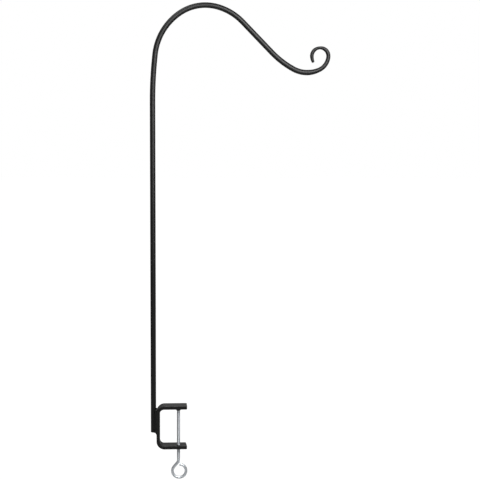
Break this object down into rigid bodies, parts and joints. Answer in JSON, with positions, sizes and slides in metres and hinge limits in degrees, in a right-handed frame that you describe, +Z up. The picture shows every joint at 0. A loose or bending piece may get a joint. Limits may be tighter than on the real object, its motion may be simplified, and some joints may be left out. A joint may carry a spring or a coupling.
{
  "type": "clamp-on shepherd hook",
  "caption": "Tall round-bar hanging hook with a swept crook and a tapered scroll end, welded to a flat-bar C clamp whose eye screw and swivel pad grip a deck rail.",
  "frame": {"origin": "on the flat underside of the clamp's upper arm, where the clamp screw's axis meets it", "axes": "+Z up along the upright and the screw's axis, +X out of the clamp's mouth and along the hook's reach, +Y across the flat bar, away from the picture's camera"},
  "size_m": [0.3391, 0.025, 0.9123],
  "materials": {
    "powder_coat": "satin black powder coat with a fine orange-peel texture",
    "coated_weld": "satin black powder coat over rippled weld metal",
    "bright_zinc": "bright zinc plate over rolled steel thread and bent wire",
    "blackened_steel": "black oxide on turned steel"
  },
  "bodies": {
    "hook": {"hook_rod": "powder_coat", "clamp_bracket": "powder_coat", "top_weld": "coated_weld", "front_weld": "coated_weld", "back_weld": "coated_weld", "bottom_weld": "coated_weld"},
    "pad": {"swivel_pad": "blackened_steel"},
    "screw": {"clamp_screw": "bright_zinc"}
  },
  "joints": [
    {"name": "clamp_travel", "type": "slide", "parent": "hook", "child": "pad", "axis": [0, 0, 1], "range_m": [-0.0677, 0.002]},
    {"name": "screw_turn", "type": "hinge", "parent": "pad", "child": "screw", "pos_m": [0, 0, 0], "axis": [0, 0, 1], "range_deg": [-19191, 567]}
  ],
  "couplings": [
    {"joint": "screw_turn", "follows": "clamp_travel", "rad_per_m": 4947.4}
  ]
}
